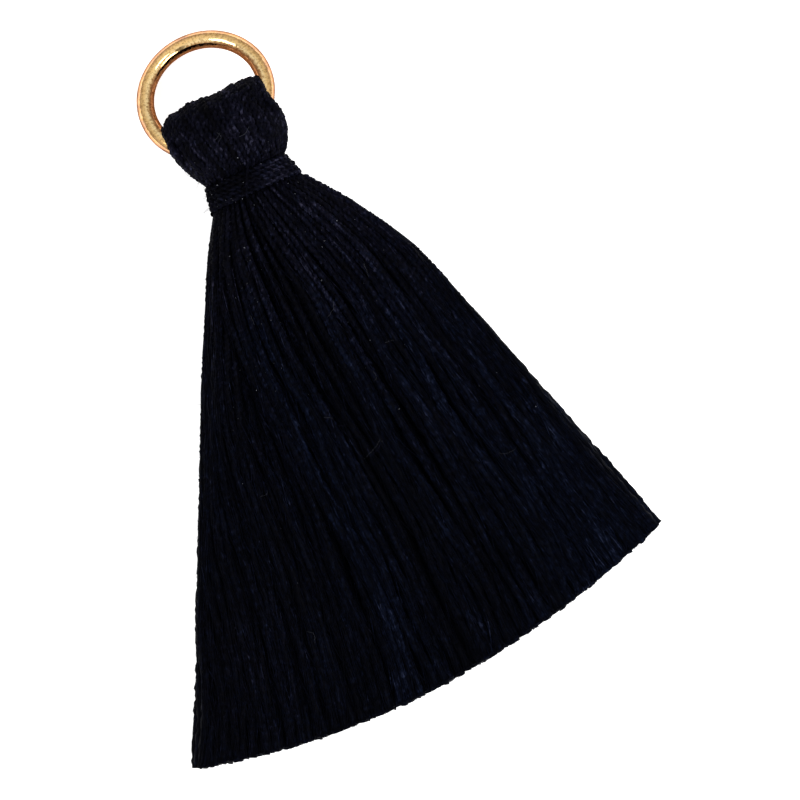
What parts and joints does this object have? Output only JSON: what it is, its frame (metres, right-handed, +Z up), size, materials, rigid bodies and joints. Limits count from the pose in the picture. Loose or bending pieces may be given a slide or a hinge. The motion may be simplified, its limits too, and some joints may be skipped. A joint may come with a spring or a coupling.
{
  "type": "yarn tassel on a wire ring",
  "caption": "Small yarn tassel lying flat: a folded hank on a plain wire ring, bound at the neck, its cut skirt fanned out.",
  "frame": {"origin": "middle of the footprint, on the surface the tassel lies on", "axes": "+Y along the tassel's axis from the cut edge to the ring, +X across the fanned skirt, +Z up"},
  "size_m": [0.0299, 0.0394, 0.0054],
  "materials": {
    "ring_wire": "bright gold-coloured wire, slightly pitted",
    "navy_yarn": "matt two-ply yarn, near-black navy"
  },
  "bodies": {
    "root": {"ring": "ring_wire", "yarn_hank": "navy_yarn", "neck_binding": "navy_yarn"}
  },
  "joints": []
}
